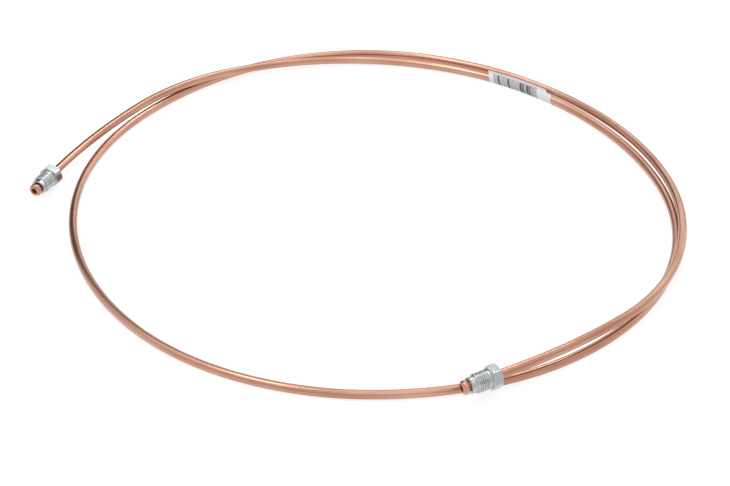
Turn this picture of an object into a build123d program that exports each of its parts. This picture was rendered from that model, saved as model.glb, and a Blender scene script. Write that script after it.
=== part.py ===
from build123d import *
import math
import os

# A hydraulic brake line: one copper-nickel pipe wound into a flat loose coil of about one
# and two thirds turns, with a flare formed on each end, a male tube nut trapped behind each
# flare and a paper label wrapped round the pipe.
# Frame: millimetres, +Z up, the pipe lies on the plane Z = 0, the origin is under the middle.

# Pipe
pipe_od = 4.75
pipe_wall = 0.7
strand_gap = 0.25  # least clear space between two strands

# Coil, wound clockwise seen from above, from the left end to the front end
coil_radius = 167.0
first_angle = 21.0  # degrees of travel from -X to the first bend's corner
last_angle = 594.0
left_splay = 2.3  # degrees by which the left end points out of the coil
front_tuck = 7.0  # degrees by which the front end points into it
left_plain = 9.8  # straight pipe between a nut and the first bend
front_plain = 12.0

# Flare: a domed nose, a round rim and a back shoulder, turned about the pipe's end
flare_od = 7.2
flare_length = 3.1
flare_dome = 1.2
flare_dome_r = 1.9
flare_shoulder = 0.6
mouth_chamfer = 0.25

# Tube nut, M10 x 1 with an 11 mm hexagon
thread_od = 10.0
thread_length = 8.4
thread_chamfer = 0.6
nose_od = 8.4
nose_length = 2.7
nose_chamfer = 0.4
hex_flats = 11.0
hex_length = 5.4
hex_chamfer = 0.55  # along the axis, where the corners are turned down to the flats
bore_clearance = 0.1
bore_chamfer = 0.3
nose_gap = 1.0  # bare pipe between the flare's shoulder and the nut
spin_gap = 0.35  # clear space round a nut's corners
front_nut_side = 3.6
left_hex_turn = 11.0
front_hex_turn = 31.0

# Label: a sleeve, and a fin where its two long edges are stuck together
label_length = 45.0
label_start = 342.6  # along the pipe from the left flare
label_thickness = 0.15
glue_gap = 0.05
fin_height = 1.8
label_tail = 5.0  # label past the fin's cut-off end
fin_lean = 60.0  # degrees above the floor, away from the coil's middle
fin_slant = 50.0  # degrees between the fin's cut-off end and the pipe

# Sizes that follow from the ones above
pipe_r = pipe_od / 2
bore_r = pipe_r - pipe_wall
pitch = pipe_od + strand_gap
flare_r = flare_od / 2
nut_bore_r = pipe_r + bore_clearance
hex_corner_r = hex_flats / 2 / math.cos(math.radians(30))
nut_front = flare_length + nose_gap
thread_start = nut_front + nose_length
hex_front = thread_start + thread_length
nut_back = hex_front + hex_length
glue_r = pipe_r + glue_gap
label_r = glue_r + label_thickness
fin_length = label_length - label_tail
left_nut_z = hex_corner_r + spin_gap / 4
# The front nut's corners pass the strand below, which lies front_nut_side nearer the middle
corner_reach = hex_corner_r + spin_gap + pipe_r
front_nut_z = pipe_r + math.sqrt(corner_reach**2 - front_nut_side**2)

# Where the coil runs: the pipe's bends have their corners at even steps of travel angle. Each
# line gives how many strand pitches a corner lies outside the coil's radius, and its height.
# The first turn climbs over the second just after it leaves the left nut, and the end of the
# second turn climbs over the first on its way to the front nut.
bends = [
    (0.98, left_nut_z),
    (-0.13, pipe_r + 1.20 * pitch),
    (-1.40, pipe_r + 0.44 * pitch),
    (-2.03, label_r),
    (-2.56, label_r),
    (-2.42, label_r),
    (-1.40, label_r),
    (0.50, pipe_r),
    (1.02, pipe_r),
    (0.76, pipe_r),
    (-0.12, pipe_r),
    (0.00, pipe_r),
    (0.08, pipe_r),
    (-0.10, pipe_r),
    (-0.08, pipe_r),
    (0.04, pipe_r),
    (-0.34, pipe_r),
    (0.20, pipe_r),
    (0.10, pipe_r),
    (-0.62, pipe_r),
    (-1.16, pipe_r + 0.24 * pitch),
    (-0.48, pipe_r + 0.70 * pitch),
    (0.94, pipe_r + 0.96 * pitch),
    (1.48, pipe_r + 0.96 * pitch),
    (0.24, front_nut_z),
]


def heading(bearing):
    """A level direction, by its angle from +X."""
    return Vector(math.cos(math.radians(bearing)), math.sin(math.radians(bearing)), 0)


# An arc of the coil's radius touches both runs beside a corner, so the corner lies outside it
step = (last_angle - first_angle) / (len(bends) - 1)
corner_radius = coil_radius / math.cos(math.radians(step / 2))
corners = []
for index, (offset, height) in enumerate(bends):
    radius = corner_radius + pitch * offset
    corners.append(heading(180 - first_angle - step * index) * radius + Vector(0, 0, height))

# How much of the runs beside each corner its arc takes up. Two arcs share every run, so the
# pipe is bent all the way from nut to nut.
reaches = [(corners[1] - corners[0]).length / 2]
for corner, following in zip(corners, corners[1:]):
    reaches.append((following - corner).length - reaches[-1])

left_out = heading(180 - first_angle + 90 - left_splay)
front_out = heading(180 - last_angle - 90 - front_tuck)
left_tip = corners[0] + left_out * (nut_back + left_plain + reaches[0])
front_tip = corners[-1] + front_out * (nut_back + front_plain + reaches[-1])

with BuildLine() as formed_line:
    Line(left_tip, corners[0] + left_out * reaches[0])
    route_points = [left_tip] + corners + [front_tip]
    for before, corner, after, reach in zip(route_points, corners, route_points[2:], reaches):
        arriving = (corner - before).normalized()
        leaving = (after - corner).normalized()
        TangentArc(corner - arriving * reach, corner + leaving * reach, tangent=arriving)
    Line(corners[-1] + front_out * reaches[-1], front_tip)

# The frame's origin is on the floor, in the middle of the pipe's route
route_middle = formed_line.line.bounding_box().center()
to_origin = Vector(-route_middle.X, -route_middle.Y, 0)
route = formed_line.wire().moved(Location(to_origin))
left_tip = left_tip + to_origin
front_tip = front_tip + to_origin

pipe_ends = [(left_tip, left_out), (front_tip, front_out)]
nuts = [
    ("left_tube_nut", left_tip, left_out, left_hex_turn),
    ("front_tube_nut", front_tip, front_out, front_hex_turn),
]

os.makedirs("parts", exist_ok=True)


def end_frame(tip, out):
    """A plane through a pipe end's axis: x runs out along the axis, y is the radius."""
    return Plane(origin=tip, x_dir=out, z_dir=out.cross(Vector(0, 0, 1)))


with BuildPart() as brake_pipe:
    with BuildSketch(Plane(origin=left_tip, z_dir=-left_out)):
        Circle(pipe_r)
        Circle(bore_r, mode=Mode.SUBTRACT)
    sweep(path=route)
    # Each end's wall is folded out into a domed collar with a back shoulder
    for tip, out in pipe_ends:
        with BuildSketch(end_frame(tip, out)):
            with BuildLine():
                dome = RadiusArc((0, pipe_r), (-flare_dome, flare_r), flare_dome_r)
                rim = Line(dome @ 1, (flare_shoulder - flare_length, flare_r))
                back = Line(rim @ 1, (-flare_length, flare_r - flare_shoulder))
                Polyline(back @ 1, (-flare_length, bore_r), (0, bore_r), dome @ 0)
            make_face()
        revolve(axis=Axis(tip, out))
        with BuildSketch(end_frame(tip, out)):
            Polygon((0, 0), (0, bore_r + mouth_chamfer), (-bore_r - mouth_chamfer, 0), align=None)
        revolve(axis=Axis(tip, out), mode=Mode.SUBTRACT)

# The left nut and the front nut are the same part, turned differently on the pipe
for name, tip, out, turn in nuts:
    hex_end = Plane(origin=tip - out * nut_back, x_dir=(0, 0, 1), z_dir=out)
    with BuildPart() as tube_nut:
        with BuildSketch(hex_end):
            RegularPolygon(hex_flats / 2, 6, major_radius=False, rotation=turn)
        extrude(amount=hex_length)
        # Both ends of the hexagon are turned down to its flats
        with BuildSketch(end_frame(tip, out)):
            Polygon(
                (-nut_back, 0),
                (-nut_back, hex_flats / 2),
                (hex_chamfer - nut_back, hex_corner_r),
                (hex_length - hex_chamfer - nut_back, hex_corner_r),
                (hex_length - nut_back, hex_flats / 2),
                (hex_length - nut_back, 0),
                align=None,
            )
        revolve(axis=Axis(tip, out), mode=Mode.INTERSECT)
        # The threaded shank and the plain nose, with their chamfered edges
        with BuildSketch(end_frame(tip, out)):
            Polygon(
                (hex_length - nut_back, 0),
                (hex_length - nut_back, thread_od / 2),
                (-thread_start - thread_chamfer, thread_od / 2),
                (-thread_start, thread_od / 2 - thread_chamfer),
                (-thread_start, nose_od / 2),
                (-nut_front - nose_chamfer, nose_od / 2),
                (-nut_front, nose_od / 2 - nose_chamfer),
                (-nut_front, 0),
                align=None,
            )
        revolve(axis=Axis(tip, out))
        # The bore that the pipe passes through, with both mouths chamfered
        with BuildSketch(end_frame(tip, out)):
            Polygon(
                (-nut_back, 0),
                (-nut_back, nut_bore_r + bore_chamfer),
                (bore_chamfer - nut_back, nut_bore_r),
                (-nut_front - bore_chamfer, nut_bore_r),
                (-nut_front, nut_bore_r + bore_chamfer),
                (-nut_front, 0),
                align=None,
            )
        revolve(axis=Axis(tip, out), mode=Mode.SUBTRACT)
    tube_nut.part.label = name
    export_step(tube_nut.part, f"parts/{name}.step")

# The label follows the pipe's own runs and arcs
label_line = route.trim(label_start / route.length, (label_start + label_length) / route.length)
fin_line = route.trim(label_start / route.length, (label_start + fin_length) / route.length)
along = label_line % 0
label_away = Vector(0, 0, 1).cross(along).rotate(Axis((0, 0, 0), along), fin_lean)
fin_root = fin_line @ 1 + label_away * label_r
fin_plane = Plane(origin=label_line @ 0, x_dir=label_away, z_dir=along)
with BuildPart() as paper_label:
    with BuildSketch(fin_plane):
        with Locations((glue_r, 0)):
            Rectangle(label_thickness + fin_height, 2 * label_thickness, align=(Align.MIN, Align.CENTER))
    sweep(path=fin_line)
    fin_end = Plane(origin=fin_root, x_dir=fin_line % 1, z_dir=label_away)
    split(bisect_by=fin_end.rotated((0, fin_slant, 0)), keep=Keep.BOTTOM)
    with BuildSketch(fin_plane):
        Circle(label_r)
        Circle(glue_r, mode=Mode.SUBTRACT)
    sweep(path=label_line)

for name, node in (("brake_pipe", brake_pipe), ("paper_label", paper_label)):
    node.part.label = name
    export_step(node.part, f"parts/{name}.step")

tightest = min(arc.radius for arc in route.edges().filter_by(GeomType.CIRCLE))
print("pipe length", round(route.length, 1), "tightest bend", round(tightest, 1))
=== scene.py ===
import math

import bpy
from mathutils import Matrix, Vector


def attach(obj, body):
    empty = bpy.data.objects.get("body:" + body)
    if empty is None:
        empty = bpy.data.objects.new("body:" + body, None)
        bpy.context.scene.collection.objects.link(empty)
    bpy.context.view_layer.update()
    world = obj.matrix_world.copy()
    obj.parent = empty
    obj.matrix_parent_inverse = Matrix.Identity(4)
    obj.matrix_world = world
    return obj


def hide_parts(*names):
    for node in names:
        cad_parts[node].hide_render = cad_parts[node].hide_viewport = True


# A hydraulic brake line: a copper-nickel pipe wound into a flat coil, with a domed flare and
# a zinc-plated tube nut at each end and a paper label round it. Metres, in the frame's axes.

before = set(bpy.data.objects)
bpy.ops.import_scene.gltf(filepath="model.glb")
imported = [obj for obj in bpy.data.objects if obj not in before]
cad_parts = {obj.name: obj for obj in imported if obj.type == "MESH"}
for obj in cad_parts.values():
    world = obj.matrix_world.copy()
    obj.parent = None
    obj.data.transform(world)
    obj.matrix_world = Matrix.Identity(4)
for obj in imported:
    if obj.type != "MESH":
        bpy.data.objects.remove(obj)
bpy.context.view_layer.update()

MM = 0.001

# Pipe and flares
PIPE_R = 2.375 * MM
BORE_R = 1.675 * MM
PITCH = 5.0 * MM
FLARE_R = 3.6 * MM
FLARE_LENGTH = 3.1 * MM
FLARE_DOME = 1.2 * MM
FLARE_DOME_R = 1.9 * MM
FLARE_SHOULDER = 0.6 * MM
MOUTH_CHAMFER = 0.25 * MM

# Tube nuts
THREAD_R = 5.0 * MM
THREAD_PITCH = 1.0 * MM
THREAD_DEPTH = 0.4 * THREAD_PITCH  # less than a true M10 x 1 has, as it looks in the photo
# Where a flank starts and ends, in half pitches from the middle of the crest
FLANK_START = 0.4
FLANK_END = 0.85
THREAD_CHAMFER = 0.6 * MM
THREAD_RUN_OUT = 1.6 * MM
PLAIN_SHARE = 0.35  # of the run-out, left plain beside the hexagon
NOSE_R = 4.2 * MM
NOSE_CHAMFER = 0.4 * MM
NOSE_RING = 0.9 * MM  # a ring on the nose, this far ahead of the thread
HEX_FLAT_R = 5.5 * MM
HEX_CORNER_R = HEX_FLAT_R / math.cos(math.radians(30))
HEX_CHAMFER = 0.55 * MM
HEX_EDGE_R = 0.25 * MM
HEX_EDGE_STEPS = 2  # to each side of a rounded corner
HEX_FLAT_STEPS = 12
HEX_RINGS = (0.75, 0.5, 0.25)  # shares of the hexagon's length, from its front
NUT_BORE_R = PIPE_R + 0.1 * MM
BORE_CHAMFER = 0.3 * MM
FACE_INSET = 0.05 * MM  # from the flats in to the rings at the hexagon's ends
SEAM = 0.02 * MM  # least step between two radii that meet
RINGS_PER_PITCH = 12
NUT_FRONT = 4.1 * MM
THREAD_START = 6.8 * MM
HEX_FRONT = 15.2 * MM
NUT_BACK = 20.6 * MM
LEFT_HEX_TURN = 11.0
FRONT_HEX_TURN = 31.0

# The pipe's route, from the same corners as the CAD: strand pitches outside the coil's
# radius, and height
COIL_RADIUS = 167 * MM
FIRST_ANGLE = 21.0
LAST_ANGLE = 594.0
LEFT_SPLAY = 2.3
FRONT_TUCK = 7.0
LEFT_PLAIN = 9.8 * MM
FRONT_PLAIN = 12.0 * MM
LABEL_R = PIPE_R + 0.2 * MM
LEFT_NUT_Z = 6.438 * MM
FRONT_NUT_Z = 10.706 * MM
BENDS = [
    (0.98, LEFT_NUT_Z),
    (-0.13, PIPE_R + 1.20 * PITCH),
    (-1.40, PIPE_R + 0.44 * PITCH),
    (-2.03, LABEL_R),
    (-2.56, LABEL_R),
    (-2.42, LABEL_R),
    (-1.40, LABEL_R),
    (0.50, PIPE_R),
    (1.02, PIPE_R),
    (0.76, PIPE_R),
    (-0.12, PIPE_R),
    (0.00, PIPE_R),
    (0.08, PIPE_R),
    (-0.10, PIPE_R),
    (-0.08, PIPE_R),
    (0.04, PIPE_R),
    (-0.34, PIPE_R),
    (0.20, PIPE_R),
    (0.10, PIPE_R),
    (-0.62, PIPE_R),
    (-1.16, PIPE_R + 0.24 * PITCH),
    (-0.48, PIPE_R + 0.70 * PITCH),
    (0.94, PIPE_R + 0.96 * PITCH),
    (1.48, PIPE_R + 0.96 * PITCH),
    (0.24, FRONT_NUT_Z),
]
CENTRE_SAMPLES = 4000

# How finely the pipe's mesh follows the route, outside and in the bore
OUTER_STEP = 2 * MM
BORE_STEP = 6 * MM
PIPE_SIDES = 40
DOME_STEPS = 8
MOUTH_DEPTH = 1.2 * MM

# Label, dressed a little longer than in the CAD and with slanted ends, as in the photo
LABEL_START = 343.4 * MM
LABEL_LENGTH = 46.5 * MM
PAPER = 0.15 * MM
FIN_HEIGHT = 1.8 * MM
FIN_LENGTH = 43 * MM
FIN_TAPER = 1.5 * MM
FIN_LEAST = 0.02 * MM
FIN_ROOT = 0.8 * MM  # the most that the two edges part outside the sleeve
FIN_LEAN = math.radians(60)
LABEL_SLANT = 0.55  # slide along the pipe for each step down from the label's top edge
LABEL_MIDDLE = 5.5 * MM
EDGES_APART = 0.1 * MM  # the least fin whose two edges lie side by side
CLOSED_SHARE = 0.2
LABEL_STEPS = 90
LABEL_BEND = 26
FIN_RISE = 8

# The fin's waves: height and length over one radian
LONG_WAVE = (0.12 * MM, 9 * MM)
SHORT_WAVE = (0.05 * MM, 2.7 * MM)

UP = Vector((0, 0, 1))


def clamp(value):
    """The value, kept from 0 to 1."""
    return min(max(value, 0), 1)


def heading(bearing):
    """A level direction, by its angle from +X in degrees."""
    return Vector((math.cos(math.radians(bearing)), math.sin(math.radians(bearing)), 0))


class Route:
    """The pipe's centre line: straight ends and one arc round each corner of BENDS."""

    def __init__(self):
        step = (LAST_ANGLE - FIRST_ANGLE) / (len(BENDS) - 1)
        corner_radius = COIL_RADIUS / math.cos(math.radians(step / 2))
        corners = [
            heading(180 - FIRST_ANGLE - step * i) * (corner_radius + PITCH * offset) + UP * height
            for i, (offset, height) in enumerate(BENDS)
        ]
        reaches = [(corners[1] - corners[0]).length / 2]
        for a, b in zip(corners, corners[1:]):
            reaches.append((b - a).length - reaches[-1])
        self.left_out = heading(270 - FIRST_ANGLE - LEFT_SPLAY)
        self.front_out = heading(90 - LAST_ANGLE - FRONT_TUCK)
        left = corners[0] + self.left_out * (NUT_BACK + LEFT_PLAIN + reaches[0])
        front = corners[-1] + self.front_out * (NUT_BACK + FRONT_PLAIN + reaches[-1])
        self.pieces = []
        self._add_line(left, corners[0] + self.left_out * reaches[0])
        points = [left] + corners + [front]
        for a, corner, b, reach in zip(points, corners, points[2:], reaches):
            self._add_arc((corner - a).normalized(), corner, (b - corner).normalized(), reach)
        self._add_line(corners[-1] + self.front_out * reaches[-1], front)
        self.length = sum(length for length, _ in self.pieces)
        self._centre()
        self.left_tip = self.at(0)[0]
        self.front_tip = self.at(self.length)[0]

    def _add_line(self, start, end):
        """Each piece of the route is its length and a rule for its places."""
        along = (end - start).normalized()
        self.pieces.append(((end - start).length, lambda d: (start + along * d, along)))

    def _add_arc(self, arriving, corner, leaving, reach):
        """An arc that touches both runs at a reach from their corner."""
        turn = arriving.angle(leaving)
        radius = reach / math.tan(turn / 2)
        start = corner - arriving * reach
        inward = (leaving - arriving * arriving.dot(leaving)).normalized()

        def place(d):
            a = d / radius
            ahead = arriving * (radius * math.sin(a))
            point = start + ahead + inward * (radius * (1 - math.cos(a)))
            return point, arriving * math.cos(a) + inward * math.sin(a)

        self.pieces.append((radius * turn, place))

    def _centre(self):
        """Moves the frame's origin under the middle of the route, as the CAD does."""
        self.shift = Vector((0, 0, 0))
        steps = CENTRE_SAMPLES
        samples = [self.at(self.length * i / steps)[0] for i in range(steps + 1)]
        for axis in (0, 1):
            values = [point[axis] for point in samples]
            self.shift[axis] = -(min(values) + max(values)) / 2

    def at(self, distance):
        """The point and direction at a distance along the pipe from the left flare."""
        for length, place in self.pieces[:-1]:
            if distance <= length:
                break
            distance -= length
        else:
            length, place = self.pieces[-1]
        point, along = place(min(distance, length))
        return point + self.shift, along

    def section(self, distance):
        """The point, the level way out of the coil, the way up and the direction."""
        point, along = self.at(distance)
        outward = UP.cross(along).normalized()
        return point, outward, along.cross(outward), along


route = Route()


def grid_mesh(name, rings, skins, around=True, along=False):
    """A mesh of quads through equal rings of points, with the flattened place of each point."""
    count = len(rings[0])
    points = [point for ring in rings for point in ring]
    rows = len(rings) if along else len(rings) - 1
    columns = count if around else count - 1
    faces = []
    for i in range(rows):
        low = i * count
        high = (i + 1) % len(rings) * count
        for j in range(columns):
            k = (j + 1) % count
            faces.append((low + j, low + k, high + k, high + j))
    mesh = bpy.data.meshes.new(name)
    mesh.from_pydata(points, [], faces)
    skin = mesh.attributes.new("skin", "FLOAT_VECTOR", "POINT")
    skin.data.foreach_set("vector", [x for ring in skins for place in ring for x in place])
    mesh.update()
    return mesh


def finish_piece(mesh, name, body, material, nodes, sharp):
    """Shades a mesh, and sets it on its body in place of its CAD nodes.

    Edges that turn by more than sharp degrees stay sharp.
    """
    for polygon in mesh.polygons:
        polygon.use_smooth = True
    mesh.set_sharp_from_angle(angle=math.radians(sharp))
    mesh.materials.append(material)
    piece = bpy.data.objects.new(name, mesh)
    bpy.context.scene.collection.objects.link(piece)
    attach(piece, body)
    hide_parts(*nodes)
    return piece


class Shader:
    """A short way to write a node material."""

    def __init__(self, name):
        self.material = bpy.data.materials.new(name)
        self.material.use_nodes = True
        self.tree = self.material.node_tree
        self.tree.nodes.clear()
        output = self.tree.nodes.new("ShaderNodeOutputMaterial")
        self.surface = self.tree.nodes.new("ShaderNodeBsdfPrincipled")
        self.tree.links.new(self.surface.outputs[0], output.inputs["Surface"])

    def join(self, value, socket):
        """Links a socket, or sets a value."""
        if isinstance(value, bpy.types.NodeSocket):
            self.tree.links.new(value, socket)
        else:
            socket.default_value = value

    def skin(self):
        """The place on the piece's own skin, in metres."""
        node = self.tree.nodes.new("ShaderNodeAttribute")
        node.attribute_name = "skin"
        return node.outputs["Vector"]

    def scaled(self, vector, scale):
        """A vector times another, axis by axis."""
        node = self.tree.nodes.new("ShaderNodeVectorMath")
        node.operation = "MULTIPLY"
        self.join(vector, node.inputs[0])
        node.inputs[1].default_value = scale
        return node.outputs[0]

    def noise(self, vector, scale, detail):
        """Noise with its own scale on each axis, per metre."""
        node = self.tree.nodes.new("ShaderNodeTexNoise")
        self.join(self.scaled(vector, scale), node.inputs["Vector"])
        node.inputs["Scale"].default_value = 1.0
        node.inputs["Detail"].default_value = detail
        node.inputs["Roughness"].default_value = 0.5
        return node.outputs["Fac"]

    def spread(self, value, low, high, to_low=0.0, to_high=1.0):
        """A range laid onto another, and held at its ends."""
        node = self.tree.nodes.new("ShaderNodeMapRange")
        self.join(value, node.inputs["Value"])
        node.inputs["From Min"].default_value = low
        node.inputs["From Max"].default_value = high
        node.inputs["To Min"].default_value = to_low
        node.inputs["To Max"].default_value = to_high
        return node.outputs["Result"]

    def mix(self, factor, first, second):
        """One colour blended into another."""
        node = self.tree.nodes.new("ShaderNodeMix")
        node.data_type = "RGBA"
        self.join(factor, node.inputs["Factor"])
        self.join(first, node.inputs["A"])
        self.join(second, node.inputs["B"])
        return node.outputs["Result"]

    def math(self, operation, *values):
        """One sum, with sockets or values."""
        node = self.tree.nodes.new("ShaderNodeMath")
        node.operation = operation
        for value, socket in zip(values, node.inputs):
            self.join(value, socket)
        return node.outputs[0]

    def bump(self, height, strength, distance):
        """Fine relief on the surface."""
        node = self.tree.nodes.new("ShaderNodeBump")
        self.join(height, node.inputs["Height"])
        node.inputs["Strength"].default_value = strength
        node.inputs["Distance"].default_value = distance
        self.tree.links.new(node.outputs[0], self.surface.inputs["Normal"])

    def set(self, **values):
        """Inputs of the surface by name, with _ for a space."""
        for name, value in values.items():
            self.join(value, self.surface.inputs[name.replace("_", " ")])


# Colours, and noise scales per metre: two across the pipe and one along it
COPPER_BROWN = (0.43, 0.20, 0.13, 1)
COPPER_SALMON = (0.575, 0.325, 0.235, 1)
COPPER_LIGHT = (0.60, 0.34, 0.24, 1)
COPPER_DARK = (0.36, 0.145, 0.085, 1)
COPPER_SPOT = (0.34, 0.14, 0.08, 1)
# Painted shade in the bore and on the mouth's chamfer: a darker, duller copper
COPPER_BORE_SHADE = (0.40, 0.11, 0.055, 1)
BORE_EDGE = (1.9 * MM, 1.75 * MM)  # radii between which the skin turns into the bore
CLOUD_SCALE = (140, 140, 22)
STREAK_SCALE = (2600, 2600, 18)
SPOT_SCALE = (900, 900, 420)
COPPER_ROUGH = (0.23, 0.31)
ZINC_DARK = (0.41, 0.43, 0.435, 1)
ZINC_LIGHT = (0.49, 0.51, 0.51, 1)
ZINC_ROUGH = (0.13, 0.21)
MOTTLE_SCALE = (500, 500, 500)
TURNED_SCALE = (40, 40, 9000)
PAPER_DARK = (0.56, 0.555, 0.57, 1)
PAPER_LIGHT = (0.66, 0.65, 0.66, 1)
INK = (0.03, 0.034, 0.032, 1)
FIBRE_SCALE = (900, 900, 900)


def copper():
    """Drawn copper-nickel: salmon to brown, fine streaks along the pipe, faint handling marks, and
    painted shade in the bore.
    """
    m = Shader("copper_nickel")
    skin = m.skin()
    clouds = m.noise(skin, CLOUD_SCALE, 3.0)
    streaks = m.noise(skin, STREAK_SCALE, 2.0)
    spots = m.noise(skin, SPOT_SCALE, 2.0)
    body = m.mix(m.spread(clouds, 0.36, 0.64), COPPER_BROWN, COPPER_SALMON)
    # Each colour is laid on where the noise goes from low to high, up to its share
    for noise, low, high, share, colour in (
        (streaks, 0.5, 0.8, 0.4, COPPER_LIGHT),
        (streaks, 0.46, 0.25, 0.5, COPPER_DARK),
        (spots, 0.62, 0.8, 0.3, COPPER_SPOT),
    ):
        body = m.mix(m.spread(noise, low, high, 0, share), body, colour)
    radius = m.tree.nodes.new("ShaderNodeVectorMath")
    radius.operation = "LENGTH"
    m.join(m.scaled(skin, (1, 1, 0)), radius.inputs[0])
    # The bore and the mouth's chamfer are painted darker and less metallic: painted shade inside
    # the hole
    inside = m.spread(radius.outputs["Value"], *BORE_EDGE)
    body = m.mix(inside, body, COPPER_BORE_SHADE)
    m.set(Base_Color=body, Metallic=m.spread(inside, 0, 1, 1.0, 0.2))
    m.set(Coat_Weight=0.4, Coat_Roughness=0.12)
    m.set(Roughness=m.spread(streaks, 0.3, 0.7, *COPPER_ROUGH))
    m.bump(m.math("ADD", m.math("MULTIPLY", streaks, 0.5), spots), 0.12, 0.05 * MM)
    return m.material


def zinc():
    """Bright zinc plate on turned steel: cool grey, lightly mottled."""
    m = Shader("zinc_plate")
    skin = m.skin()
    mottle = m.noise(skin, MOTTLE_SCALE, 3.0)
    turned = m.noise(skin, TURNED_SCALE, 2.0)
    body = m.mix(m.spread(mottle, 0.35, 0.65), ZINC_DARK, ZINC_LIGHT)
    m.set(Base_Color=body, Metallic=1.0)
    m.set(Roughness=m.spread(mottle, 0.3, 0.7, *ZINC_ROUGH))
    m.bump(m.math("ADD", m.math("MULTIPLY", turned, 0.6), mottle), 0.1, 0.03 * MM)
    return m.material


# Plain bars that stand for nothing: middle, width and darkness, in mm along the label
BARS = [
    (6.9, 1.0, 0.95),
    (9.4, 0.5, 0.4),
    (11.2, 0.5, 0.35),
    (13.9, 1.1, 0.95),
    (16.2, 0.7, 0.45),
    (17.7, 0.5, 0.4),
    (19.8, 0.5, 0.35),
    (22.9, 1.4, 0.95),
    (24.8, 1.2, 0.85),
    (27.8, 1.3, 0.95),
    (29.6, 1.0, 0.9),
    (31.6, 0.8, 0.65),
    (33.3, 0.6, 0.4),
]

# The print's limits in mm: where it fades in or out, along the label and down from its top
BAR_BLUR = 0.3
BARS_TOP = (1.7, 2.3)
FINE_PITCH = 1.3
FINE_START = (3.0, 3.2)
FINE_STOP = (35.2, 34.8)
FINE_TOP = (1.2, 1.6)
FINE_INK = (0.36, 0.55)
PRINTED_SIDE = (0.4, 0.6)


def label_paper():
    """Matt white paper with plain grey bars. Its skin is (along, down from the top edge, side)."""
    m = Shader("label_paper")
    skin = m.skin()
    split = m.tree.nodes.new("ShaderNodeSeparateXYZ")
    m.join(skin, split.inputs[0])
    along = m.math("DIVIDE", split.outputs[0], MM)
    down = m.math("DIVIDE", split.outputs[1], MM)
    ink = 0.0
    for middle, width, dark in BARS:
        off = m.math("ABSOLUTE", m.math("SUBTRACT", along, middle))
        bar = m.spread(off, width / 2 + BAR_BLUR, width / 2, 0, dark)
        ink = m.math("MAXIMUM", ink, bar)
    ink = m.math("MULTIPLY", ink, m.spread(down, *BARS_TOP))
    fine = m.math("SINE", m.math("MULTIPLY", along, 2 * math.pi / FINE_PITCH))
    fine = m.spread(fine, -0.2, 1.0, *FINE_INK)
    inside = m.math("MULTIPLY", m.spread(along, *FINE_START), m.spread(along, *FINE_STOP))
    inside = m.math("MULTIPLY", inside, m.spread(down, *FINE_TOP))
    ink = m.math("MAXIMUM", ink, m.math("MULTIPLY", fine, inside))
    fibres = m.noise(skin, FIBRE_SCALE, 3.0)
    paper = m.mix(fibres, PAPER_DARK, PAPER_LIGHT)
    ink = m.math("MULTIPLY", ink, m.spread(split.outputs[2], *PRINTED_SIDE))
    m.set(Base_Color=m.mix(ink, paper, INK), Roughness=0.7)
    m.bump(fibres, 0.2, 0.05 * MM)
    return m.material


def flare_profile():
    """(distance behind the tip, radius) from inside the bore, over the flare, to the pipe."""
    profile = [(MOUTH_DEPTH, BORE_R), (MOUTH_CHAMFER, BORE_R), (0, BORE_R + MOUTH_CHAMFER)]
    start = Vector((0, PIPE_R))
    chord = Vector((FLARE_DOME, FLARE_R)) - start
    across = Vector((-chord.y, chord.x)).normalized()
    depth = math.sqrt(FLARE_DOME_R**2 - chord.length_squared / 4)
    for i in range(DOME_STEPS + 1):
        t = i / DOME_STEPS
        bulge = math.sqrt(FLARE_DOME_R**2 - (chord.length * (t - 0.5)) ** 2) - depth
        point = start + chord * t + across * bulge
        profile.append((point.x, point.y))
    profile += [
        (FLARE_LENGTH - FLARE_SHOULDER, FLARE_R),
        (FLARE_LENGTH, FLARE_R - FLARE_SHOULDER),
        (FLARE_LENGTH, PIPE_R),
    ]
    return profile


def pipe_piece():
    """The pipe with its two flares, its bore open from end to end."""
    # One closed row of rings: out over the left flare, along the pipe, in at the front flare
    # and back through the bore
    profile = flare_profile()
    stations = list(profile)
    plain = route.length - 2 * FLARE_LENGTH
    steps = round(plain / OUTER_STEP)
    for i in range(1, steps):
        stations.append((FLARE_LENGTH + plain * i / steps, PIPE_R))
    stations += [(route.length - behind, radius) for behind, radius in reversed(profile)]
    bored = route.length - 2 * MOUTH_DEPTH
    steps = round(bored / BORE_STEP)
    for i in range(steps - 1, 0, -1):
        stations.append((MOUTH_DEPTH + bored * i / steps, BORE_R))
    turns = [2 * math.pi * j / PIPE_SIDES for j in range(PIPE_SIDES)]
    rings = []
    skins = []
    for distance, radius in stations:
        point, outward, up, _ = route.section(min(max(distance, 0), route.length))
        rings.append([point + (outward * math.cos(a) + up * math.sin(a)) * radius for a in turns])
        skins.append([(math.cos(a) * radius, math.sin(a) * radius, distance) for a in turns])
    mesh = grid_mesh("copper_pipe", rings, skins, along=True)
    finish_piece(mesh, "copper_pipe", "pipe", copper(), ["brake_pipe"], sharp=30)


def hex_turns():
    """Angles round the nut, close together at the hexagon's rounded corners."""
    centre = (HEX_FLAT_R - HEX_EDGE_R) / math.cos(math.radians(30))
    edge = math.atan2(HEX_EDGE_R * 0.5, centre + HEX_EDGE_R * math.cos(math.radians(30)))
    turns = []
    for side in range(6):
        corner = math.radians(60 * side)
        for k in range(-HEX_EDGE_STEPS, HEX_EDGE_STEPS + 1):
            turns.append(corner + edge * k / HEX_EDGE_STEPS)
        span = math.radians(60) - 2 * edge
        for k in range(1, HEX_FLAT_STEPS):
            turns.append(corner + edge + span * k / HEX_FLAT_STEPS)
    return turns, centre, edge


def hex_radius(turn, centre, edge):
    """The hexagon's radius at an angle, with its corners rounded."""
    off = math.remainder(turn, math.radians(60))
    if abs(off) <= edge:
        return centre * math.cos(off) + math.sqrt(HEX_EDGE_R**2 - (centre * math.sin(off)) ** 2)
    return HEX_FLAT_R / math.cos(math.radians(30) - abs(off))


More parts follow.
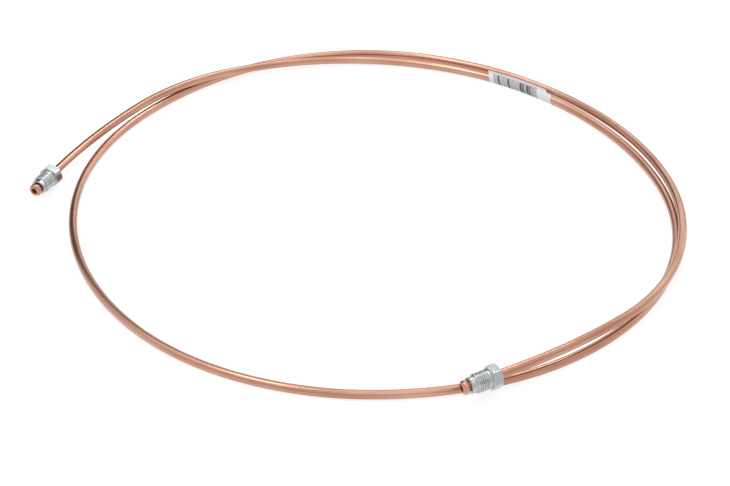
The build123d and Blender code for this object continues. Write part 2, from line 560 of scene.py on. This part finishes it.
def thread_radius(turn, behind):
    """The nut's outside at a place on its right-handed thread, with flat crests."""
    phase = (-behind / THREAD_PITCH - turn / (2 * math.pi)) % 1.0
    from_crest = abs(phase - 0.5) * 2
    cut = clamp((from_crest - FLANK_START) / (FLANK_END - FLANK_START))
    to_hex = (HEX_FRONT - behind) / THREAD_RUN_OUT
    cut *= clamp(to_hex - PLAIN_SHARE)
    lead = THREAD_R - THREAD_CHAMFER + max(behind - THREAD_START, 0)
    return min(THREAD_R - THREAD_DEPTH * cut, max(lead, NOSE_R + SEAM))


def nut_piece(name, tip, out, hex_turn, body, node, material):
    """One tube nut: hexagon, threaded shank and plain nose, bored for the pipe."""
    turns, centre, edge = hex_turns()
    shift = math.radians(hex_turn)
    span = HEX_CORNER_R - HEX_FLAT_R
    rows = [
        lambda a: (NUT_FRONT + BORE_CHAMFER, NUT_BORE_R),
        lambda a: (NUT_BACK - BORE_CHAMFER, NUT_BORE_R),
        lambda a: (NUT_BACK, NUT_BORE_R + BORE_CHAMFER),
        lambda a: (NUT_BACK, HEX_FLAT_R - FACE_INSET),
    ]

    def chamfer(a):
        """How far the hexagon's end is turned back at an angle."""
        return HEX_CHAMFER * (hex_radius(a, centre, edge) - HEX_FLAT_R + FACE_INSET) / span

    rows.append(lambda a: (NUT_BACK - chamfer(a), hex_radius(a, centre, edge)))
    for share in HEX_RINGS:
        middle = HEX_FRONT + (NUT_BACK - HEX_FRONT) * share
        rows.append(lambda a, middle=middle: (middle, hex_radius(a, centre, edge)))
    rows.append(lambda a: (HEX_FRONT + chamfer(a), hex_radius(a, centre, edge)))
    rows.append(lambda a: (HEX_FRONT, HEX_FLAT_R - FACE_INSET))
    rows.append(lambda a: (HEX_FRONT, THREAD_R + SEAM))
    steps = round((HEX_FRONT - THREAD_START) / THREAD_PITCH * RINGS_PER_PITCH)
    for i in range(steps + 1):
        behind = HEX_FRONT - (HEX_FRONT - THREAD_START) * i / steps
        rows.append(lambda a, behind=behind: (behind, thread_radius(a, behind)))
    rows += [
        lambda a: (THREAD_START, NOSE_R),
        lambda a: (THREAD_START - NOSE_RING, NOSE_R),
        lambda a: (NUT_FRONT + NOSE_CHAMFER, NOSE_R),
        lambda a: (NUT_FRONT, NOSE_R - NOSE_CHAMFER),
        lambda a: (NUT_FRONT, NUT_BORE_R + BORE_CHAMFER),
    ]
    side = out.cross(UP)
    rings = []
    skins = []
    for row in rows:
        ring = []
        skin = []
        for a in turns:
            behind, radius = row(a)
            angle = a + shift
            way = UP * math.cos(angle) + side * math.sin(angle)
            ring.append(tip - out * behind + way * radius)
            skin.append((math.cos(a) * radius, math.sin(a) * radius, behind))
        rings.append(ring)
        skins.append(skin)
    mesh = grid_mesh(name, rings, skins, along=True)
    finish_piece(mesh, name, body, material, [node], sharp=25)


def label_piece():
    """One strip of paper laid round the pipe, its two edges stuck together in a fin."""
    middle_r = LABEL_R - PAPER / 2
    half = PAPER / 2
    rings = []
    skins = []
    for i in range(LABEL_STEPS + 1):
        along = LABEL_LENGTH * i / LABEL_STEPS
        point, outward, up, forward = route.section(LABEL_START + along)
        height = max(FIN_HEIGHT * clamp((FIN_LENGTH - along) / FIN_TAPER), FIN_LEAST)
        root = middle_r + min(0.5 * height, FIN_ROOT)
        open_angle = math.acos(middle_r / root)
        wave = sum(size * math.sin(along / reach) for size, reach in (LONG_WAVE, SHORT_WAVE))
        fin = outward * math.cos(FIN_LEAN) + up * math.sin(FIN_LEAN)
        back = outward * math.sin(FIN_LEAN) - up * math.cos(FIN_LEAN)
        apart = half * (1 if height > EDGES_APART else CLOSED_SHARE)
        ring = []
        skin = []
        for side in (-1, 1):
            path = []
            for k in range(FIN_RISE + 1):
                t = k / FIN_RISE
                out = LABEL_R + height - (LABEL_R + height - root) * t
                lean = wave * (out - root) / FIN_HEIGHT
                path.append((out, side * apart + lean))
            for k in range(1, LABEL_BEND + 1):
                a = open_angle + (math.pi - open_angle) * k / LABEL_BEND
                path.append((middle_r * math.cos(a), side * middle_r * math.sin(a)))
            places = []
            down = 0.0
            last = None
            for out, off in path:
                if last is not None:
                    down += math.hypot(out - last[0], off - last[1])
                last = (out, off)
                slide = LABEL_SLANT * (down - LABEL_MIDDLE)
                place = point + fin * out + back * off + forward * slide
                places.append((place, (along, down, (1 - side) / 2)))
            if side == 1:
                places = list(reversed(places))[1:]
            ring += [place for place, _ in places]
            skin += [flat for _, flat in places]
        rings.append(ring)
        skins.append(skin)
    mesh = grid_mesh("bar_label", rings, skins, around=False)
    paper = label_paper()
    piece = finish_piece(mesh, "bar_label", "pipe", paper, ["paper_label"], sharp=50)
    thick = piece.modifiers.new("paper", "SOLIDIFY")
    thick.thickness = PAPER
    thick.offset = 0


pipe_piece()
zinc_plate = zinc()
for name, tip, out, turn, node in (
    ("left_nut", route.left_tip, route.left_out, LEFT_HEX_TURN, "left_tube_nut"),
    ("front_nut", route.front_tip, route.front_out, FRONT_HEX_TURN, "front_tube_nut"),
):
    nut_piece(name, tip, out, turn, name, node, zinc_plate)
label_piece()


def panel(name, corners, material):
    """A flat stage piece, which isn't part of the object."""
    mesh = bpy.data.meshes.new(name)
    mesh.from_pydata(corners, [], [(0, 1, 2, 3)])
    mesh.materials.append(material)
    piece = bpy.data.objects.new(name, mesh)
    bpy.context.scene.collection.objects.link(piece)


def softbox(name, place, target, width, height, power):
    """A soft rectangular light that the camera doesn't see."""
    light = bpy.data.lights.new(name, "AREA")
    light.shape = "RECTANGLE"
    light.size = width
    light.size_y = height
    light.energy = power
    lamp = bpy.data.objects.new(name, light)
    lamp.location = place
    aim = Vector(target) - Vector(place)
    lamp.rotation_euler = aim.to_track_quat("-Z", "Y").to_euler()
    lamp.visible_camera = False
    bpy.context.scene.collection.objects.link(lamp)


# A floor that glows a little, so that it shows white as in the photo
FLOOR_GREY = (0.3, 0.3, 0.3, 1)
FLOOR_GLOW = 0.76
FLOOR_HALF = 4
WHITE = (1, 1, 1, 1)
floor = Shader("floor_paper")
floor.set(Base_Color=FLOOR_GREY, Roughness=0.9)
floor.set(Emission_Color=WHITE, Emission_Strength=FLOOR_GLOW)
ways = ((-1, -1), (1, -1), (1, 1), (-1, 1))
panel("floor", [(x * FLOOR_HALF, y * FLOOR_HALF, 0) for x, y in ways], floor.material)

# Name, place, target, width, height and power in watts
for box in (
    ("top_softbox", (-0.42, 0.05, 1.3), (-0.2, 0, 0), 0.8, 0.2, 3.0),
    ("corner_softbox", (0.31, 0.86, 1.08), (-0.05, -0.08, 0), 0.16, 0.16, 0.9),
    ("back_softbox", (0.38, 0.5, 0.47), (0.38, -0.2, 0.47), 1.0, 0.7, 2.3),
):
    softbox(*box)

# The room: its level, what its dark corner takes off and what its upper part adds, and where
# they fade, by the way looked in from -1 to 1
ROOM_LEVEL = 0.92
ROOM_DARK = 0.78
ROOM_UPPER = 0.40
CORNER_SLANT = -0.7
CORNER_BACK = (0.35, 0.65)
CORNER_LEFT = (0.24, 0.06)
CORNER_HIGH = (0.85, 0.68)
UPPER_HIGH = (0.62, 0.85)


def studio_world():
    """A pale room, brighter overhead, with a dark corner low at the back and left."""
    world = bpy.data.worlds.new("studio")
    world.use_nodes = True
    nodes = world.node_tree.nodes
    link = world.node_tree.links.new
    way = nodes.new("ShaderNodeTexCoord").outputs["Generated"]
    split = nodes.new("ShaderNodeSeparateXYZ")
    link(way, split.inputs[0])

    def band(socket, low, high):
        """0 to 1, softly, as the socket goes from low to high."""
        node = nodes.new("ShaderNodeMapRange")
        node.interpolation_type = "SMOOTHSTEP"
        link(socket, node.inputs["Value"])
        node.inputs["From Min"].default_value = low
        node.inputs["From Max"].default_value = high
        return node.outputs["Result"]

    def math_node(operation, *values):
        node = nodes.new("ShaderNodeMath")
        node.operation = operation
        for value, socket in zip(values, node.inputs):
            if isinstance(value, bpy.types.NodeSocket):
                link(value, socket)
            else:
                socket.default_value = value
        return node.outputs[0]

    right, back, high = split.outputs
    slant = math_node("ADD", right, math_node("MULTIPLY", back, CORNER_SLANT))
    dark = math_node("MULTIPLY", band(back, *CORNER_BACK), band(slant, *CORNER_LEFT))
    dark = math_node("MULTIPLY", dark, band(high, *CORNER_HIGH))
    level = math_node("MULTIPLY_ADD", dark, -ROOM_DARK, ROOM_LEVEL)
    upper = math_node("MULTIPLY", band(high, *UPPER_HIGH), ROOM_UPPER)
    link(math_node("ADD", level, upper), nodes["Background"].inputs["Strength"])
    nodes["Background"].inputs["Color"].default_value = WHITE
    return world


bpy.context.scene.world = studio_world()
bpy.context.scene.view_settings.view_transform = "Standard"

# The photo's camera, fitted to the coil: focal length in mm, degrees down from level and place
LENS = 81.37
LOOK_DOWN = 35.707
CAMERA_PLACE = Vector((-4.16, -767.77, 524.10)) * MM

camera = bpy.data.cameras.new("camera")
camera.lens = LENS
camera.sensor_width = 36
camera.clip_end = 20
view = bpy.data.objects.new("camera", camera)
view.location = CAMERA_PLACE + route.shift
view.rotation_euler = (math.radians(90 - LOOK_DOWN), 0, 0)
bpy.context.scene.collection.objects.link(view)
bpy.context.scene.camera = view
